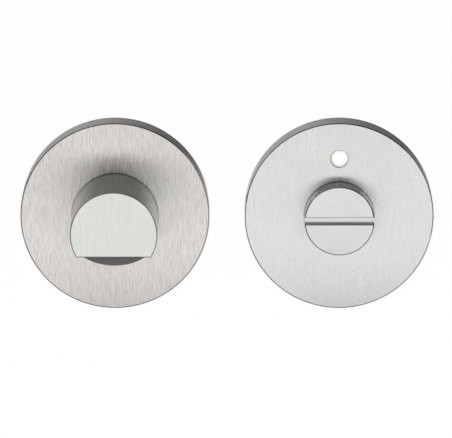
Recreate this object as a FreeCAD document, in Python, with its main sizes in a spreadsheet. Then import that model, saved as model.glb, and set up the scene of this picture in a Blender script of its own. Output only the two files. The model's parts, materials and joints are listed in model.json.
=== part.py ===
import FreeCAD, Part
import math
import os
import re

import Sketcher

# Bathroom thumb turn and coin release, two round roses that share one lock.
# Each piece is drawn with its own Z pointing out of the door, away from the door face at Z = 0,
# and its placement turns that Z to the front, so +Z of the whole part is up.
# The thumb turn half stands at X = 0 and the release half beside it.

doc = FreeCAD.newDocument("ThumbTurnLock")
sheet = doc.addObject("Spreadsheet::Sheet", "Sizes")

driving_sizes = [
    ("FixingPitch", 38, "bolt to bolt, which sets the size of the roses"),
    ("RimClearance", 0.2, "bolt heads to the rim of a base"),
    ("HalvesApart", 9.7, "gap between the two roses"),
    ("CoverFace", 1.5, "thickness of a cover's face"),
    ("CoverRim", 1.3, "thickness of a cover's rim"),
    ("CoverFit", 0.2, "cover to base, radial and axial"),
    ("EdgeChamfer", 0.3, "broken edges of covers and knobs"),
    ("WindowDiameter", 4.8, "indicator window"),
    ("WindowAbove", 16, "indicator window above the axis"),
    ("PryNotchWidth", 6, "notch for levering a cover off"),
    ("PryNotchDepth", 1.4, "the same notch, from the door face"),
    ("WireSquare", 1, "snap ring wire, across its sides"),
    ("WireAhead", 2.2, "snap ring centre from the door face"),
    ("WireFit", 0.1, "wire to the sides of its grooves"),
    ("WireGapAngle", 32, "open part of the snap ring"),
    ("TurnDiameter", 23.8, "thumb turn knob"),
    ("TurnReach", 25.5, "thumb turn knob ahead of its cover"),
    ("FlatBelow", 6.2, "thumb flat below the axis"),
    ("RampRunout", 9.6, "end of the ramp ahead of the cover"),
    ("RampAngle", 35, "ramp to the thumb flat"),
    ("RampBlend", 8, "radius between the flat and the ramp"),
    ("ReleaseDiameter", 19.2, "release knob"),
    ("ReleaseReach", 7.2, "release knob ahead of its cover"),
    ("SlotWidth", 2, "coin slot"),
    ("SlotDepth", 2, "coin slot"),
    ("MovingGap", 0.3, "between pieces that pass each other"),
    ("AxialPlay", 0.2, "end play of a knob"),
    ("RunningFit", 0.05, "shank in its bush, and keyed pieces on a shank, radial"),
    ("ShankWall", 1.52, "shank outside the corners of its socket"),
    ("ShankFlatDepth", 1.05, "flats at the end of a shank"),
    ("ShankRecess", 0.3, "end of a shank ahead of the door face"),
    ("RingLand", 0.6, "end of a shank to its retaining ring"),
    ("RingThickness", 1, "retaining ring"),
    ("RingGroove", 0.75, "depth of the retaining ring's groove"),
    ("RingWidth", 1.6, "mean width of the retaining ring's band"),
    ("RingOffset", 0.3, "outside of the ring off its centre"),
    ("RingOpening", 2.4, "gap between the ring's ends"),
    ("RingEar", 2.4, "diameter of the ring's ears"),
    ("RingEarHole", 1.2, "plier holes in the ears"),
    ("StopThickness", 1, "stop plate"),
    ("StopBand", 1.6, "stop plate round its bore"),
    ("StopLugLength", 1.8, "stop lug beyond its plate"),
    ("StopLugAngle", 20, "angle that the lug takes"),
    ("TurnAngle", 90, "turn of either knob from open to locked"),
    ("StopSpare", 1.5, "angle left beyond each end of the turn"),
    ("RecessFit", 0.3, "stop plate in its recess, radial"),
    ("WasherPlay", 0.1, "wave washer to the stop plate"),
    ("WasherHeight", 0.45, "wave washer over its waves"),
    ("WasherSheet", 0.25, "wave washer's metal"),
    ("WasherWaves", 3, "waves round the washer"),
    ("BushWall", 1.1, "bush in the base"),
    ("StillFit", 0.02, "between pieces that stay still against each other"),
    ("BushFlange", 0.8, "thickness of the bush's flange"),
    ("BushFlangeWidth", 2.6, "flange beyond the bush's wall"),
    ("CollarWall", 0.9, "collar in the cover's bore"),
    ("BasePlate", 2.6, "floor of a base"),
    ("BaseRim", 1.5, "wall round a base"),
    ("HubWeb", 1.13, "hub between its recess and the bush's flange"),
    ("HubWall", 1.3, "wall outside the stop lug's pocket"),
    ("RibThickness", 1.4, "ribs of a base"),
    ("RibDrop", 0.4, "top of a rib below the front of the hub"),
    ("BossDiameter", 10, "bosses round the fixing holes"),
    ("BossHeight", 3.2, "bosses from the door face"),
    ("ScrewHole", 4.2, "spare wood screw holes"),
    ("BoltDiameter", 4, "thread of the through bolts"),
    ("BoltNeckStep", 0.3, "neck beyond the thread, radial"),
    ("BoltReach", 36, "through bolt behind the door face"),
    ("BoltHead", 7.6, "pan heads, hexagon heads and countersinks"),
    ("BoltHeadHeight", 2.2, "pan head"),
    ("BoltRecess", 4, "across the cross recess"),
    ("BoltRecessWidth", 0.9, "one arm of the cross recess"),
    ("BoltRecessDepth", 1.3, "cross recess"),
    ("FixingFit", 0.2, "bolt neck in the base, radial"),
    ("SleeveDiameter", 6, "threaded sleeve"),
    ("SleeveReach", 12, "threaded sleeve behind the door face"),
    ("SleeveFit", 0.05, "sleeve in the base and thread in the sleeve, radial"),
    ("SleeveHead", 2, "height of the sleeve's head"),
    ("SleeveSink", 1.2, "depth of the hexagon pocket"),
    ("SpindleSquare", 8, "across the flats of the spindle"),
    ("SpindleReach", 47, "spindle behind the door face"),
    ("SpindleChamfer", 1, "end of the spindle"),
    ("SocketFit", 0.05, "spindle in its socket, each side"),
    ("SocketFloor", 8.5, "bottom of the sockets from the door face"),
    ("SocketEndGap", 0.2, "spindle to the bottom of its socket"),
    ("PinDiameter", 2.5, "spring pin"),
    ("PinWall", 0.5, "spring pin"),
    ("PinSlot", 0.5, "slot along the spring pin"),
    ("PinAhead", 5.6, "spring pin from the door face"),
    ("PinInset", 0.3, "ends of the pin inside the shank"),
    ("DiscThickness", 1, "indicator disc"),
    ("DiscStep", 0.3, "shoulder behind the collar, radial"),
    ("DiscKeyStep", 0.15, "flats that key the disc, beyond the shank"),
    ("DiscHubWidth", 4, "disc round its bore"),
    ("DiscMargin", 1, "disc beyond the window"),
    ("DiscFieldAngle", 48, "angle of the field that the window shows"),
    ("LabelThickness", 0.1, "red label"),
    ("LabelInset", 0.5, "red label inside the edge of the disc"),
    ("LabelAngle", 42, "angle of the red label"),
]
for row, (alias, amount, note) in enumerate(driving_sizes, start=1):
    sheet.set("A%d" % row, note)
    sheet.set("B%d" % row, str(amount))
    sheet.setAlias("B%d" % row, alias)
doc.recompute()

# Sizes that several pieces share, worked out from the sheet
fixing_radius = "(FixingPitch / 2)"
rim_inside = "(FixingPitch / 2 + BoltHead / 2 + RimClearance)"
base_radius = "(FixingPitch / 2 + BoltHead / 2 + RimClearance + BaseRim)"
rose_inside = "(FixingPitch / 2 + BoltHead / 2 + RimClearance + BaseRim + CoverFit)"
rose_radius = "(FixingPitch / 2 + BoltHead / 2 + RimClearance + BaseRim + CoverFit + CoverRim)"
half_spacing = "(2 * %s + HalvesApart)" % rose_radius
socket_half = "(SpindleSquare / 2 + SocketFit)"
shank_radius = "(sqrt(2) * %s + ShankWall)" % socket_half
bore_radius = "(%s + RunningFit)" % shank_radius
collar_radius = "(%s + CollarWall)" % bore_radius
bush_radius = "(%s + BushWall)" % bore_radius
cover_bore = "(%s + MovingGap)" % collar_radius
disc_seat = "(%s - DiscStep)" % collar_radius
disc_flat = "(%s + DiscKeyStep)" % shank_radius
ring_back = "(ShankRecess + RingLand)"
stop_back = "(%s + RingThickness)" % ring_back
stop_front = "(%s + StopThickness)" % stop_back
washer_back = "(%s + WasherPlay)" % stop_front
recess_floor = "(%s + WasherHeight + StillFit)" % washer_back
hub_front = "(%s + HubWeb)" % recess_floor
flange_front = "(%s + BushFlange)" % hub_front
disc_back = "(%s + AxialPlay)" % flange_front
disc_front = "(%s + DiscThickness)" % disc_back
cover_inside = "(%s + MovingGap)" % disc_front
rim_front = "(%s - CoverFit)" % cover_inside
cover_front = "(%s + CoverFace)" % cover_inside
head_back = "(%s + MovingGap)" % cover_front
ring_seat = "(%s - RingGroove)" % shank_radius
shank_flat = "(%s - ShankFlatDepth)" % shank_radius
stop_radius = "(%s + StopBand)" % bore_radius
lug_reach = "(%s + StopLugLength)" % stop_radius
hub_radius = "(%s + RecessFit + HubWall)" % lug_reach

half_places = {"turn": "0", "release": half_spacing}
stop_places = {"turn": "90 + TurnAngle / 2", "release": "90 - TurnAngle / 2"}
outward = FreeCAD.Rotation(FreeCAD.Vector(1, 0, 0), 90)
along = FreeCAD.Vector(0, 0, 1)
full_turn = 360
hair = 1e-6  # two levels or radii closer than this are one
finished = []


def bound(text):
    return re.sub(r"[A-Z][A-Za-z]+", r"Sizes.\g<0>", text)


def number(text):
    return float(sheet.evalExpression(bound(text)))


def negative(text):
    return "-(%s)" % text


# Documents, sketches and their constraints

def new_body(name, half):
    body = doc.addObject("PartDesign::Body", name)
    body.Placement = FreeCAD.Placement(FreeCAD.Vector(0, 0, 0), outward)
    body.setExpression("Placement.Base.x", bound(half_places[half]))
    finished.append(body)
    return body


def new_sketch(body, name, role="XY_Plane", ahead="0"):
    sketch = body.newObject("Sketcher::SketchObject", body.Name + "_" + name + "_outline")
    plane = next(item for item in body.Origin.OriginFeatures if item.Role == role)
    sketch.AttachmentSupport = (plane, [""])
    sketch.MapMode = "FlatFace"
    sketch.setExpression("AttachmentOffset.Base.z", bound(ahead))
    return sketch


def dimension(sketch, kind, *places_and_text):
    places = places_and_text[:-1]
    text = places_and_text[-1]
    index = sketch.addConstraint(Sketcher.Constraint(kind, *places, number(text)))
    sketch.setExpression("Constraints[%d]" % index, bound(text))


def place_point(sketch, geometry, end, x, y):
    dimension(sketch, "DistanceX", -1, 1, geometry, end, x)
    dimension(sketch, "DistanceY", -1, 1, geometry, end, y)


def outline(sketch, corners):
    places = [FreeCAD.Vector(number(x), number(y), 0) for x, y in corners]
    first = sketch.GeometryCount
    count = len(corners)
    for start, end in zip(places, places[1:] + places[:1]):
        sketch.addGeometry(Part.LineSegment(start, end))
    for step in range(count):
        following = first + (step + 1) % count
        sketch.addConstraint(Sketcher.Constraint("Coincident", first + step, 2, following, 1))
    for step, (x, y) in enumerate(corners):
        place_point(sketch, first + step, 1, x, y)


def rectangle(sketch, left, right, bottom, top):
    outline(sketch, [(left, bottom), (right, bottom), (right, top), (left, top)])


def circle(sketch, radius, x="0", y="0"):
    centre = FreeCAD.Vector(number(x), number(y), 0)
    geometry = sketch.addGeometry(Part.Circle(centre, along, number(radius)))
    place_point(sketch, geometry, 3, x, y)
    dimension(sketch, "Radius", geometry, radius)


def centred_arc(sketch, radius, start, end):
    around = Part.Circle(FreeCAD.Vector(0, 0, 0), along, number(radius))
    return sketch.addGeometry(Part.ArcOfCircle(around, start, end))


# Closed outline of a shaft with two flats, above and below its axis
def flatted_circle(sketch, radius, flat):
    reach = number(radius)
    level = number(flat)
    half_chord = (reach ** 2 - level ** 2) ** 0.5
    lean = FreeCAD.Vector(half_chord, level, 0).getAngle(FreeCAD.Vector(1, 0, 0))
    right = centred_arc(sketch, radius, -lean, lean)
    left = centred_arc(sketch, radius, math.pi - lean, math.pi + lean)
    corners = [FreeCAD.Vector(half_chord, level, 0), FreeCAD.Vector(-half_chord, level, 0)]
    top = sketch.addGeometry(Part.LineSegment(*corners))
    bottom = sketch.addGeometry(Part.LineSegment(-corners[0], -corners[1]))
    joins = [(right, 2, top, 1), (top, 2, left, 1), (left, 2, bottom, 1), (bottom, 2, right, 1)]
    for join in joins:
        sketch.addConstraint(Sketcher.Constraint("Coincident", *join))
    for arc in (right, left):
        sketch.addConstraint(Sketcher.Constraint("Coincident", arc, 3, -1, 1))
        dimension(sketch, "Radius", arc, radius)
    for side, height in ((top, flat), (bottom, negative(flat))):
        sketch.addConstraint(Sketcher.Constraint("Horizontal", side))
        dimension(sketch, "DistanceY", -1, 1, side, 1, height)


# Part of a ring between two radii and two angles in degrees
def sector(sketch, inner, outer, start, end):
    angles = [math.radians(number(start)), math.radians(number(end))]
    turns = [FreeCAD.Rotation(along, number(angle)) for angle in (start, end)]
    inside = centred_arc(sketch, inner, *angles)
    outside = centred_arc(sketch, outer, *angles)
    sides = []
    for turn in turns:
        near = turn.multVec(FreeCAD.Vector(number(inner), 0, 0))
        far = turn.multVec(FreeCAD.Vector(number(outer), 0, 0))
        sides.append(sketch.addGeometry(Part.LineSegment(near, far)))
    for arc, end_of_side, radius in ((inside, 1, inner), (outside, 2, outer)):
        sketch.addConstraint(Sketcher.Constraint("Coincident", arc, 3, -1, 1))
        dimension(sketch, "Radius", arc, radius)
        for arc_end, side in ((1, sides[0]), (2, sides[1])):
            sketch.addConstraint(Sketcher.Constraint("Coincident", arc, arc_end, side, end_of_side))
    for side, angle in zip(sides, (start, end)):
        place_x = "(%s) * cos(%s)" % (outer, angle)
        place_y = "(%s) * sin(%s)" % (outer, angle)
        lean = math.radians(number(angle))
        if abs(math.sin(lean)) > abs(math.cos(lean)):
            dimension(sketch, "DistanceX", -1, 1, side, 2, place_x)
        else:
            dimension(sketch, "DistanceY", -1, 1, side, 2, place_y)
        sketch.addConstraint(Sketcher.Constraint("PointOnObject", -1, 1, side))


# Features

def revolve(body, sketch, name="turned"):
    feature = body.newObject("PartDesign::Revolution", body.Name + "_" + name)
    feature.Profile = sketch
    feature.ReferenceAxis = (sketch, ["V_Axis"])
    feature.Angle = full_turn
    doc.recompute()
    return feature


def pad(body, sketch, length, name):
    feature = body.newObject("PartDesign::Pad", body.Name + "_" + name)
    feature.Profile = sketch
    feature.setExpression("Length", bound(length))
    doc.recompute()
    return feature


def check_cut(body, feature, before):
    doc.recompute()
    if feature.Shape.Volume >= before:
        raise ValueError(feature.Name + " removes nothing from " + body.Name)
    return feature


def turn_groove(body, sketch, name):
    before = body.Tip.Shape.Volume
    feature = body.newObject("PartDesign::Groove", body.Name + "_" + name)
    feature.Profile = sketch
    feature.ReferenceAxis = (sketch, ["V_Axis"])
    feature.Angle = full_turn
    return check_cut(body, feature, before)


# A pocket runs toward the door from its sketch, or away from the door when outward_cut is set
def pocket(body, sketch, depth, name, outward_cut=False):
    before = body.Tip.Shape.Volume
    feature = body.newObject("PartDesign::Pocket", body.Name + "_" + name)
    feature.Profile = sketch
    feature.Reversed = outward_cut
    feature.setExpression("Length", bound(depth))
    return check_cut(body, feature, before)


def pocket_across(body, sketch, length, name):
    before = body.Tip.Shape.Volume
    feature = body.newObject("PartDesign::Pocket", body.Name + "_" + name)
    feature.Profile = sketch
    feature.Midplane = True
    feature.setExpression("Length", bound(length))
    return check_cut(body, feature, before)


def repeat_round(body, feature, copies, name):
    pattern = body.newObject("PartDesign::PolarPattern", body.Name + "_" + name)
    pattern.Originals = [feature]
    axis = next(item for item in body.Origin.OriginFeatures if item.Role == "Z_Axis")
    pattern.Axis = (axis, [""])
    pattern.Angle = full_turn
    pattern.Occurrences = copies
    body.Tip = pattern
    doc.recompute()
    return pattern


def edges_where(feature, wanted):
    edges = enumerate(feature.Shape.Edges, start=1)
    return ["Edge%d" % position for position, edge in edges if wanted(edge)]


def break_edges(body, kind, wanted, size_name, amount, name):
    base = body.Tip
    feature = body.newObject("PartDesign::" + kind, body.Name + "_" + name)
    feature.Base = (base, edges_where(base, wanted))
    feature.setExpression(size_name, bound(amount))
    doc.recompute()
    return feature


def level_with(edge, height):
    box = edge.BoundBox
    return abs(box.ZMin - height) < hair and abs(box.ZMax - height) < hair


# Covers: turned cups that hook over a snap ring on their base

def make_cover(half):
    body = new_body(half + "_cover", half)
    section = new_sketch(body, "section", "XZ_Plane")
    outside = rose_radius
    inside = rose_inside
    outline(section, [
        (cover_bore, cover_inside),
        (inside, cover_inside),
        (inside, "0"),
        (outside + " - EdgeChamfer", "0"),
        (outside, "EdgeChamfer"),
        (outside, cover_front + " - EdgeChamfer"),
        (outside + " - EdgeChamfer", cover_front),
        (cover_bore + " + EdgeChamfer", cover_front),
        (cover_bore, cover_front + " - EdgeChamfer"),
    ])
    revolve(body, section)
    groove = new_sketch(body, "groove", "XZ_Plane")
    half_groove = "(WireSquare / 2 + WireFit)"
    rectangle(groove, inside + " - CoverFit", base_radius + " + " + half_groove,
              "WireAhead - " + half_groove, "WireAhead + " + half_groove)
    turn_groove(body, groove, "wire_groove")
    notch = new_sketch(body, "notch", "XZ_Plane")
    rectangle(notch, "-PryNotchWidth / 2", "PryNotchWidth / 2", "-PryNotchDepth", "PryNotchDepth")
    pocket(body, notch, rose_radius + " * 2", "pry_notch", outward_cut=True)
    return body


def make_release_cover():
    body = make_cover("release")
    window = new_sketch(body, "window", ahead=cover_front)
    circle(window, "WindowDiameter / 2", "0", "WindowAbove")
    pocket(body, window, "CoverFace", "window")
    radius = number("WindowDiameter / 2")
    front = number(cover_front)

    def window_rim(edge):
        round_edge = isinstance(edge.Curve, Part.Circle)
        return round_edge and abs(edge.Curve.Radius - radius) < hair and level_with(edge, front)

    break_edges(body, "Chamfer", window_rim, "Size", "EdgeChamfer / 2", "window_chamfer")


# Bases: zinc castings with a hub for the bush, bosses for the fixings, ribs and a rim

def make_base(half):
    body = new_body(half + "_base", half)
    section = new_sketch(body, "section", "XZ_Plane")
    recess = stop_radius + " + RecessFit"
    bush_seat = bush_radius + " + StillFit"
    outline(section, [
        (bush_seat, recess_floor),
        (recess, recess_floor),
        (recess, "0"),
        (base_radius, "0"),
        (base_radius, rim_front),
        (rim_inside, rim_front),
        (rim_inside, "BasePlate"),
        (hub_radius, "BasePlate"),
        (hub_radius, hub_front),
        (bush_seat, hub_front),
    ])
    revolve(body, section, "cast")

    boss = new_sketch(body, "boss")
    circle(boss, "BossDiameter / 2", fixing_radius, "0")
    repeat_round(body, pad(body, boss, "BossHeight", "boss"), 4, "bosses")

    rib = new_sketch(body, "rib")
    diagonal = "cos(45)"
    inner = "(%s - RibThickness) * %s" % (hub_radius, diagonal)
    outer = "(%s + BaseRim / 2) * %s" % (rim_inside, diagonal)
    across = "RibThickness / 2 * %s" % diagonal
    outline(rib, [
        ("%s - %s" % (inner, across), "%s + %s" % (inner, across)),
        ("%s + %s" % (inner, across), "%s - %s" % (inner, across)),
        ("%s + %s" % (outer, across), "%s - %s" % (outer, across)),
        ("%s - %s" % (outer, across), "%s + %s" % (outer, across)),
    ])
    repeat_round(body, pad(body, rib, hub_front + " - RibDrop", "rib"), 4, "ribs")

    groove = new_sketch(body, "groove", "XZ_Plane")
    half_groove = "(WireSquare / 2 + WireFit)"
    rectangle(groove, base_radius + " - " + half_groove, base_radius + " + CoverFit",
              "WireAhead - " + half_groove, "WireAhead + " + half_groove)
    turn_groove(body, groove, "wire_groove")

    lug_pocket = new_sketch(body, "lug_pocket")
    sweep = "(TurnAngle / 2 + StopLugAngle / 2 + StopSpare)"
    sector(lug_pocket, bush_seat, lug_reach + " + RecessFit", "90 - " + sweep, "90 + " + sweep)
    pocket(body, lug_pocket, recess_floor, "lug_pocket", outward_cut=True)

    screws = new_sketch(body, "screws", ahead="BossHeight")
    for side in ("", "-"):
        circle(screws, "ScrewHole / 2", "0", side + "FixingPitch / 2")
    pocket(body, screws, "BossHeight", "screw_holes")
    screw_radius = number("ScrewHole / 2")
    boss_front = number("BossHeight")

    def screw_rim(edge):
        round_edge = isinstance(edge.Curve, Part.Circle)
        same = round_edge and abs(edge.Curve.Radius - screw_radius) < hair
        return same and level_with(edge, boss_front)

    break_edges(body, "Chamfer", screw_rim, "Size", "(BoltHead - ScrewHole) / 2", "countersinks")

    fixings = new_sketch(body, "fixings", ahead="BossHeight")
    holes = {"turn": "BoltDiameter / 2 + BoltNeckStep + FixingFit",
             "release": "SleeveDiameter / 2 + SleeveFit"}
    for side in ("", "-"):
        circle(fixings, holes[half], side + fixing_radius, "0")
    pocket(body, fixings, "BossHeight", "fixing_holes")
    return body


def hexagon(sketch, across, x):
    corner = "(%s) / 2 / cos(30)" % across
    corners = []
    for step in range(6):
        lean = 30 + 60 * step
        corners.append(("%s + %s * cos(%d)" % (x, corner, lean), "%s * sin(%d)" % (corner, lean)))
    outline(sketch, corners)


def make_release_base():
    body = make_base("release")
    seats = new_sketch(body, "hexagons", ahead="BossHeight")
    for side in ("", "-"):
        hexagon(seats, "BoltHead + 2 * SleeveFit", side + fixing_radius)
    pocket(body, seats, "SleeveSink", "hexagon_pockets")


# Snap ring: an open ring of square wire that sits half in the base and half in the cover

def make_cover_spring(half):
    body = new_body(half + "_cover_spring", half)
    wire = new_sketch(body, "wire", "XZ_Plane")
    rectangle(wire, base_radius + " - WireSquare / 2", base_radius + " + WireSquare / 2",
              "WireAhead - WireSquare / 2", "WireAhead + WireSquare / 2")
    ring = revolve(body, wire, "ring")
    ring.Midplane = True
    ring.setExpression("Angle", bound("%d - WireGapAngle" % full_turn))
    doc.recompute()


# Bushes: flanged nylon rings, the thumb turn's with a collar that fills the cover's bore

def make_bush(half):
    body = new_body(half + "_bush", half)
    section = new_sketch(body, "section", "XZ_Plane")
    flange = bush_radius + " + BushFlangeWidth"
    corners = [
        (bore_radius, recess_floor),
        (bush_radius, recess_floor),
        (bush_radius, hub_front),
        (flange, hub_front),
        (flange, flange_front),
    ]
    if half == "turn":
        collar_front = head_back + " - RunningFit * 2"
        corners.append((collar_radius, flange_front))
        corners.append((collar_radius, collar_front))
        corners.append((bore_radius, collar_front))
    else:
        corners.append((bore_radius, flange_front))
    outline(section, corners)
    revolve(body, section)


# Knobs: one turned piece each, from the head to the square socket in the end of the shank

def finish_shank(body):
    ring = new_sketch(body, "ring_groove", "XZ_Plane")
    rectangle(ring, ring_seat, shank_radius + " + RingLand", ring_back, stop_back)
    turn_groove(body, ring, "ring_groove")
    flats = new_sketch(body, "flats", ahead="ShankRecess")
    circle(flats, shank_radius + " + RingLand")
    flatted_circle(flats, shank_radius, shank_flat)
    pocket(body, flats, stop_front + " - ShankRecess + WasherPlay", "flats", outward_cut=True)
    socket = new_sketch(body, "socket", ahead="ShankRecess")
    rectangle(socket, negative(socket_half), socket_half, negative(socket_half), socket_half)
    pocket(body, socket, "SocketFloor - ShankRecess", "socket", outward_cut=True)


def make_turn_knob():
    body = new_body("turn_knob", "turn")
    section = new_sketch(body, "section", "XZ_Plane")
    radius = "TurnDiameter / 2"
    tip = cover_front + " + TurnReach"
    outline(section, [
        ("0", "ShankRecess"),
        (shank_radius, "ShankRecess"),
        (shank_radius, head_back),
        (radius + " - EdgeChamfer", head_back),
        (radius, head_back + " + EdgeChamfer"),
        (radius, tip),
        ("0", tip),
    ])
    revolve(body, section)

    side = new_sketch(body, "side", "YZ_Plane")
    spare = "EdgeChamfer"
    ramp_end = cover_front + " + RampRunout"
    ramp_start = "%s + (%s - FlatBelow) / tan(RampAngle)" % (ramp_end, radius)
    outline(side, [
        ("-FlatBelow", tip + " + " + spare),
        ("-FlatBelow", ramp_start),
        ("-(%s + %s)" % (radius, spare), "%s - %s / tan(RampAngle)" % (ramp_end, spare)),
        ("-(%s + %s)" % (radius, spare), tip + " + " + spare),
    ])
    pocket_across(body, side, "TurnDiameter * 2", "thumb_flat")
    corner_height = number(ramp_start)
    corner_depth = -number("FlatBelow")

    def ramp_corner(edge):
        return level_with(edge, corner_height) and abs(edge.BoundBox.YMax - corner_depth) < hair

    break_edges(body, "Fillet", ramp_corner, "Radius", "RampBlend", "ramp_blend")
    tip_height = number(tip)

    def tip_edge(edge):
        return level_with(edge, tip_height)

    break_edges(body, "Chamfer", tip_edge, "Size", "EdgeChamfer", "tip_chamfer")
    finish_shank(body)
    pin_hole = new_sketch(body, "pin_hole", "YZ_Plane")
    circle(pin_hole, "PinDiameter / 2 + StillFit", "0", "PinAhead")
    pocket_across(body, pin_hole, shank_radius + " * 4", "pin_hole")


def make_release_knob():
    body = new_body("release_knob", "release")
    section = new_sketch(body, "section", "XZ_Plane")
    radius = "ReleaseDiameter / 2"
    tip = cover_front + " + ReleaseReach"
    seat_back = disc_back
    outline(section, [
        ("0", "ShankRecess"),
        (shank_radius, "ShankRecess"),
        (shank_radius, seat_back),
        (disc_seat, seat_back),
        (disc_seat, disc_front),
        (collar_radius, disc_front),
        (collar_radius, head_back),
        (radius + " - EdgeChamfer", head_back),
        (radius, head_back + " + EdgeChamfer"),
        (radius, tip + " - EdgeChamfer"),
        (radius + " - EdgeChamfer", tip),
        ("0", tip),
    ])
    revolve(body, section)
    slot = new_sketch(body, "slot", ahead=tip)
    rectangle(slot, "-ReleaseDiameter", "ReleaseDiameter", "-SlotWidth / 2", "SlotWidth / 2")
    pocket(body, slot, "SlotDepth", "coin_slot")
    key = new_sketch(body, "disc_key", ahead=seat_back)
    circle(key, disc_seat + " + DiscStep")
    flatted_circle(key, disc_seat, disc_flat)
    pocket(body, key, "DiscThickness", "disc_key", outward_cut=True)
    finish_shank(body)


# Pieces on the shanks, behind the bases

def make_stop_plate(half):
    body = new_body(half + "_stop_plate", half)
    plate = new_sketch(body, "plate", ahead=stop_back)
    circle(plate, stop_radius)
    flatted_circle(plate, bore_radius, shank_flat + " + RunningFit")
    pad(body, plate, "StopThickness", "plate")
    lug = new_sketch(body, "lug", ahead=stop_back)
    place = stop_places[half]
    sector(lug, stop_radius + " - StopBand / 2", lug_reach,
           place + " - StopLugAngle / 2", place + " + StopLugAngle / 2")
    pad(body, lug, "StopThickness", "lug")


def make_circlip(half):
    body = new_body(half + "_circlip", half)
    band = new_sketch(body, "band", ahead=ring_back)
    outside = "(%s + RingWidth)" % ring_seat
    circle(band, ring_seat)
    circle(band, outside, "0", "RingOffset")
    pad(body, band, "RingThickness", "band")
    ears = new_sketch(body, "ears", ahead=ring_back)
    ear_x = "(RingOpening / 2 + RingEar / 2)"
    ear_y = "-sqrt(pow(%s + RingEar / 2, 2) - pow(%s, 2))" % (ring_seat, ear_x)
    for side in ("", "-"):
        circle(ears, "RingEar / 2", side + ear_x, ear_y)
    pad(body, ears, "RingThickness", "ears")
    opening = new_sketch(body, "opening", ahead=stop_back)
    rectangle(opening, "-RingOpening / 2", "RingOpening / 2", negative(outside + " * 2"), "0")
    pocket(body, opening, "RingThickness", "opening")
    holes = new_sketch(body, "ear_holes", ahead=stop_back)
    for side in ("", "-"):
        circle(holes, "RingEarHole / 2", side + ear_x, ear_y)
    pocket(body, holes, "RingThickness", "ear_holes")


# Wave washer: a thin band whose two edges rise and fall together round the shank
def make_wave_washer(half):
    inner = number(bore_radius + " + MovingGap")
    outer = number(stop_radius)
    low = number(washer_back)
    swing = number("(WasherHeight - WasherSheet) / 2")
    waves = int(number("WasherWaves"))
    steps = waves * 4

    def edge_of_band(radius):
        points = []
        for step in range(steps):
            turn = 2 * math.pi * step / steps
            height = low + swing * (1 + math.cos(waves * turn))
            points.append(FreeCAD.Vector(radius * math.cos(turn), radius * math.sin(turn), height))
        curve = Part.BSplineCurve()
        curve.interpolate(points, PeriodicFlag=True)
        return curve.toShape()

    band = Part.makeRuledSurface(edge_of_band(inner), edge_of_band(outer))
    washer = doc.addObject("Part::Feature", half + "_wave_washer")
    washer.Shape = band.extrude(along * number("WasherSheet"))
    washer.Placement = FreeCAD.Placement(FreeCAD.Vector(0, 0, 0), outward)
    washer.setExpression("Placement.Base.x", bound(half_places[half]))
    finished.append(washer)


# Spindle and its pin

def make_spindle():
    body = new_body("turn_spindle", "turn")
    end = new_sketch(body, "square", ahead="-SpindleReach")
    half_square = "SpindleSquare / 2"
    rectangle(end, "-" + half_square, half_square, "-" + half_square, half_square)
    pad(body, end, "SpindleReach + SocketFloor - SocketEndGap", "bar")
    far_end = number("-SpindleReach")

    def end_edge(edge):
        return level_with(edge, far_end)

    break_edges(body, "Chamfer", end_edge, "Size", "SpindleChamfer", "end_chamfer")
    hole = new_sketch(body, "pin_hole", "YZ_Plane")
    circle(hole, "PinDiameter / 2 + StillFit", "0", "PinAhead")
    pocket_across(body, hole, "SpindleSquare * 2", "pin_hole")


def make_spindle_pin():
    body = new_body("spindle_pin", "turn")
    end = new_sketch(body, "ring", "YZ_Plane")
    circle(end, "PinDiameter / 2", "0", "PinAhead")
    circle(end, "PinDiameter / 2 - PinWall", "0", "PinAhead")
    tube = pad(body, end, "2 * %s - 2 * PinInset" % shank_radius, "tube")
    tube.Midplane = True
    doc.recompute()
    slot = new_sketch(body, "slot", "YZ_Plane")
    rectangle(slot, "-PinSlot / 2", "PinSlot / 2", "PinAhead", "PinAhead + PinDiameter")
    pocket_across(body, slot, shank_radius + " * 4", "slot")


# Indicator: a white disc with a red field a quarter turn from the window

def make_indicator_disc():
    body = new_body("indicator_disc", "release")
    hub = new_sketch(body, "hub", ahead=disc_back)
    bore = "(%s + RunningFit)" % disc_seat
    hub_edge = "(%s + DiscHubWidth)" % disc_seat
    circle(hub, hub_edge)
    flatted_circle(hub, bore, disc_flat + " + RunningFit")
    pad(body, hub, "DiscThickness", "hub")
    field = new_sketch(body, "field", ahead=disc_back)
    sector(field, hub_edge + " - DiscThickness", "WindowAbove + WindowDiameter / 2 + DiscMargin",
           "90 - TurnAngle - DiscFieldAngle / 2", "90 + DiscFieldAngle / 2")
    pad(body, field, "DiscThickness", "field")


def make_indicator_label():
    body = new_body("indicator_red_label", "release")
    field = new_sketch(body, "field", ahead=disc_front)
    middle = "90 - TurnAngle"
    sector(field, "WindowAbove - WindowDiameter / 2 - LabelInset",
           "WindowAbove + WindowDiameter / 2 + DiscMargin - LabelInset",
           middle + " - LabelAngle / 2", middle + " + LabelAngle / 2")
    pad(body, field, "LabelThickness", "field")


# Fixings: each node holds the two alike, one on either side of the axis

def revolve_beside(name, half, profile, x):
    body = new_body(name, half)
    section = new_sketch(body, "section", "XZ_Plane")
    outline(section, profile)
    revolve(body, section)
    body.setExpression("Placement.Base.x", bound(half_places[half] + " + " + x))
    return body


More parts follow.
